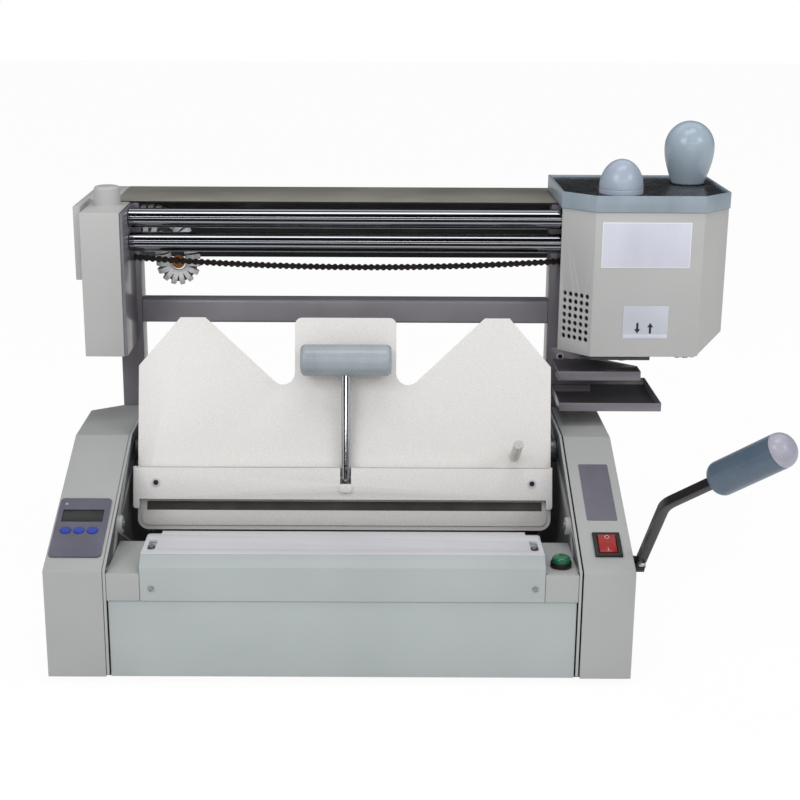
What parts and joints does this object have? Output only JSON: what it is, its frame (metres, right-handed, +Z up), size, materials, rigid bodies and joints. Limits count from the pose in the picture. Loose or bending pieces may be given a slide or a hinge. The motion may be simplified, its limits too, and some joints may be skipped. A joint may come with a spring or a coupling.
{
  "type": "perfect binding machine",
  "caption": "Desktop perfect binder: sloped base with nip plate and hand lever, book clamp that tips back, and a milling and gluing carriage on two rods.",
  "frame": {"origin": "centre of the bounding box in plan, on the surface that the feet stand on", "axes": "+X to the operator's right, +Y away from the operator, +Z up"},
  "size_m": [0.6668, 0.5274, 0.4862],
  "materials": {
    "cover_paint": "satin light grey powder coat",
    "front_paint": "satin pale grey powder coat",
    "plate_paint": "speckled off-white powder coat",
    "nip_paint": "satin off-white",
    "frame_paint": "glossy dark grey enamel",
    "pan_paint": "matt dark grey",
    "chrome": "polished",
    "machined_steel": "turned",
    "cast_aluminium": "machined casting",
    "knob_plastic": "glossy blue-grey",
    "lid_plastic": "glossy blue-grey",
    "black_plastic": "fine grain black",
    "panel_plastic": "purple-grey film",
    "lcd_window": "dark blue window",
    "key_plastic": "blue",
    "rocker_plastic": "translucent red",
    "button_plastic": "green",
    "rubber": "matt black",
    "chain_steel": "oiled dark steel",
    "wrap_plastic": "translucent white"
  },
  "bodies": {
    "base": {"base_pan": "pan_paint", "foot_front_left": "rubber", "foot_front_right": "rubber", "foot_rear_left": "rubber", "foot_rear_right": "rubber", "left_side_cover": "cover_paint", "right_side_cover": "cover_paint", "left_cheek_plate": "cover_paint", "right_cheek_plate": "cover_paint", "rear_cover": "cover_paint", "power_inlet": "black_plastic", "lower_front_panel": "front_paint", "deck": "cover_paint", "nip_housing": "front_paint", "control_panel": "panel_plastic", "lcd_display": "lcd_window", "power_switch_bezel": "black_plastic", "start_button_body": "black_plastic", "left_post": "frame_paint", "right_post": "frame_paint", "crossbar": "frame_paint", "beam": "frame_paint", "beam_end_cover": "cover_paint", "left_end_box": "cover_paint", "left_rod_plate": "frame_paint", "upper_rod": "chrome", "lower_rod": "chrome", "drive_chain": "chain_steel", "cable_core": "black_plastic", "cable_wrap": "wrap_plastic", "tray_bracket": "frame_paint", "drip_tray": "frame_paint"},
    "carriage": {"carriage_housing": "cover_paint", "carriage_lid": "lid_plastic", "push_knob": "knob_plastic", "slide_frame": "cast_aluminium", "glue_pot": "pan_paint", "roller_belt": "rubber", "milling_motor": "pan_paint"},
    "filler_cap": {"filler_cap": "knob_plastic"},
    "glue_roller": {"glue_roller": "machined_steel"},
    "drive_sprocket": {"drive_sprocket": "machined_steel"},
    "milling_cutter": {"milling_cutter": "machined_steel"},
    "clamp": {"book_plate": "plate_paint", "left_clamp_arm": "cast_aluminium", "right_clamp_arm": "cast_aluminium", "stop_pin": "chrome"},
    "jaw": {"clamp_jaw": "plate_paint"},
    "tee_handle": {"tee_stem": "chrome", "tee_grip": "knob_plastic"},
    "nip_lever": {"nip_shaft": "machined_steel", "lever_hub": "black_plastic", "lever_arm": "pan_paint", "lever_grip": "knob_plastic"},
    "nip_table": {"nip_plate": "nip_paint"},
    "start_button": {"start_button_cap": "button_plastic"},
    "down_key": {"key_down": "key_plastic"},
    "set_key": {"key_set": "key_plastic"},
    "up_key": {"key_up": "key_plastic"},
    "rocker": {"power_switch_rocker": "rocker_plastic"}
  },
  "joints": [
    {"name": "carriage_slide", "type": "slide", "parent": "base", "child": "carriage", "axis": [-1, 0, 0], "range_m": [0, 0.42]},
    {"name": "roller_spin", "type": "hinge", "parent": "carriage", "child": "glue_roller", "pos_m": [0.22715, 0.11467, 0.2655], "axis": [0, -1, 0], "range_deg": [0, 1600]},
    {"name": "sprocket_spin", "type": "hinge", "parent": "carriage", "child": "drive_sprocket", "pos_m": [0.20415, 0.14467, 0.3685], "axis": [0, -1, 0], "range_deg": [0, 1600]},
    {"name": "cutter_spin", "type": "hinge", "parent": "carriage", "child": "milling_cutter", "pos_m": [0.29215, 0.11767, 0.256], "axis": [0, 0, 1], "continuous": true},
    {"name": "filler_cap_lift", "type": "slide", "parent": "carriage", "child": "filler_cap", "axis": [0, 0, 1], "range_m": [0, 0.05]},
    {"name": "clamp_flip", "type": "hinge", "parent": "base", "child": "clamp", "pos_m": [-0.05785, 0.06767, 0.163], "axis": [-1, 0, 0], "range_deg": [0, 163]},
    {"name": "jaw_slide", "type": "slide", "parent": "clamp", "child": "jaw", "axis": [0, -0.9563, 0.2924], "range_m": [0, 0.04]},
    {"name": "tee_turn", "type": "hinge", "parent": "jaw", "child": "tee_handle", "pos_m": [-0.05465, 0.02219, 0.14763], "axis": [1, 0, 0], "range_deg": [0, 80]},
    {"name": "nip_lever_pull", "type": "hinge", "parent": "base", "child": "nip_lever", "pos_m": [0.22215, -0.09233, 0.1032], "axis": [1, 0, 0], "range_deg": [0, 50]},
    {"name": "nip_slide", "type": "slide", "parent": "base", "child": "nip_table", "axis": [0, 1, 0], "range_m": [0, 0.0042]},
    {"name": "start_button_press", "type": "slide", "parent": "base", "child": "start_button", "axis": [0, 0, -1], "range_m": [0, 0.003], "stiffness_N_per_m": 300},
    {"name": "down_key_press", "type": "slide", "parent": "base", "child": "down_key", "axis": [0, 0.3661, -0.9306], "range_m": [0, 0.0006], "stiffness_N_per_m": 400},
    {"name": "set_key_press", "type": "slide", "parent": "base", "child": "set_key", "axis": [0, 0.3661, -0.9306], "range_m": [0, 0.0006], "stiffness_N_per_m": 400},
    {"name": "up_key_press", "type": "slide", "parent": "base", "child": "up_key", "axis": [0, 0.3661, -0.9306], "range_m": [0, 0.0006], "stiffness_N_per_m": 400},
    {"name": "power_rocker_tilt", "type": "hinge", "parent": "base", "child": "rocker", "pos_m": [0.18995, -0.1009, 0.12485], "axis": [-1, 0, 0], "range_deg": [0, 12]}
  ],
  "couplings": [
    {"joint": "roller_spin", "follows": "carriage_slide", "rad_per_m": 66},
    {"joint": "sprocket_spin", "follows": "carriage_slide", "rad_per_m": 66},
    {"joint": "nip_slide", "follows": "nip_lever_pull", "m_per_rad": 0.0048}
  ]
}
